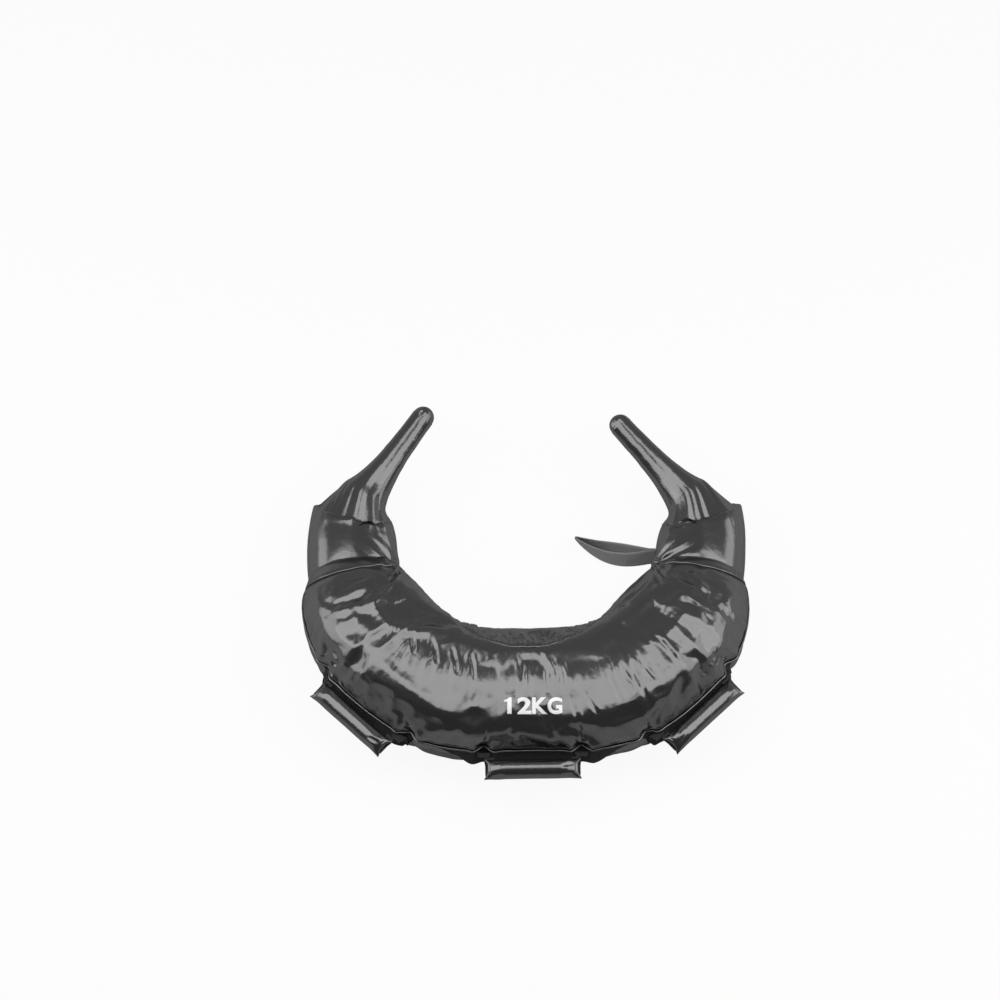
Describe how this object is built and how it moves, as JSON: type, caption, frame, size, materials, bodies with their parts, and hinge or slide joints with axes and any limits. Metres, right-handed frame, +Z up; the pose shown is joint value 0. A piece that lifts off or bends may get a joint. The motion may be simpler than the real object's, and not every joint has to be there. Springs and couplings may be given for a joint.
{
  "type": "bulgarian bag",
  "caption": "Crescent-shaped sand-filled training bag in black leather, with tapered horn handles, padded side grips and webbing wrist loops.",
  "frame": {"origin": "middle of the bag's footprint on the floor, at the bottom centre of its bounding box", "axes": "+X across the bag to its right horn, +Y from the grips towards the horns, +Z up from the floor"},
  "size_m": [0.591, 0.5462, 0.1485],
  "materials": {
    "black_leather": "glossy black synthetic leather, soft wrinkles",
    "edging": "glossy black piping over cord",
    "grey_webbing": "matt woven nylon webbing",
    "black_webbing": "matt woven nylon webbing",
    "sand_bag": "matt sand-filled cloth",
    "wadding": "matt fibre wadding",
    "grip_foam": "matt closed-cell foam"
  },
  "bodies": {
    "bag": {"top_panel": "black_leather", "inner_band": "black_leather", "bottom_panel": "black_leather", "outer_gusset": "black_leather", "top_piping": "edging", "bottom_piping": "edging", "wadding_sleeve": "wadding", "left_sandbag": "sand_bag", "centre_sandbag": "sand_bag", "right_sandbag": "sand_bag", "left_cross_seam": "edging", "right_cross_seam": "edging", "left_end_sleeve": "black_leather", "right_end_sleeve": "black_leather", "left_end_wadding": "wadding", "right_end_wadding": "wadding", "left_loop_tail": "grey_webbing", "right_loop_tail": "grey_webbing", "left_grip_left_anchor": "black_webbing", "left_grip_right_anchor": "black_webbing", "centre_grip_left_anchor": "black_webbing", "centre_grip_right_anchor": "black_webbing", "right_grip_left_anchor": "black_webbing", "right_grip_right_anchor": "black_webbing"},
    "left_horn": {"left_horn_cover": "black_leather", "left_horn_core": "wadding"},
    "right_horn": {"right_horn_cover": "black_leather", "right_horn_core": "wadding"},
    "left_grip": {"left_grip_cover": "black_leather", "left_grip_core": "grip_foam", "left_grip_strap": "black_webbing"},
    "centre_grip": {"centre_grip_cover": "black_leather", "centre_grip_core": "grip_foam", "centre_grip_strap": "black_webbing"},
    "right_grip": {"right_grip_cover": "black_leather", "right_grip_core": "grip_foam", "right_grip_strap": "black_webbing"},
    "left_loop": {"left_wrist_loop": "grey_webbing"},
    "right_loop": {"right_wrist_loop": "grey_webbing"}
  },
  "joints": [
    {"name": "left_horn_bend", "type": "hinge", "parent": "bag", "child": "left_horn", "pos_m": [-0.2286, 0.13183, 0.056], "axis": [0.3007, 0, -0.9537], "range_deg": [-32, 20], "stiffness_Nm_per_rad": 4},
    {"name": "right_horn_bend", "type": "hinge", "parent": "bag", "child": "right_horn", "pos_m": [0.2316, 0.13183, 0.056], "axis": [0.2622, 0, 0.965], "range_deg": [-40, 12], "stiffness_Nm_per_rad": 4},
    {"name": "left_grip_swing", "type": "hinge", "parent": "bag", "child": "left_grip", "pos_m": [-0.21915, -0.1725, 0.07254], "axis": [-0.7018, 0.7122, -0.0119], "range_deg": [-22, 55]},
    {"name": "centre_grip_swing", "type": "hinge", "parent": "bag", "child": "centre_grip", "pos_m": [0.00867, -0.24443, 0.07337], "axis": [-0.9999, -0.0165, 0], "range_deg": [-22, 55]},
    {"name": "right_grip_swing", "type": "hinge", "parent": "bag", "child": "right_grip", "pos_m": [0.2231, -0.16877, 0.07244], "axis": [-0.6919, -0.7218, 0.0134], "range_deg": [-22, 55]},
    {"name": "left_wrist_loop_swing", "type": "hinge", "parent": "bag", "child": "left_loop", "pos_m": [-0.1756, 0.08483, 0.0006], "axis": [0, 0, 1], "range_deg": [0, 110]},
    {"name": "right_wrist_loop_swing", "type": "hinge", "parent": "bag", "child": "right_loop", "pos_m": [0.1713, 0.08483, 0.0006], "axis": [0, 0.342, 0.9397], "range_deg": [0, 50]}
  ]
}
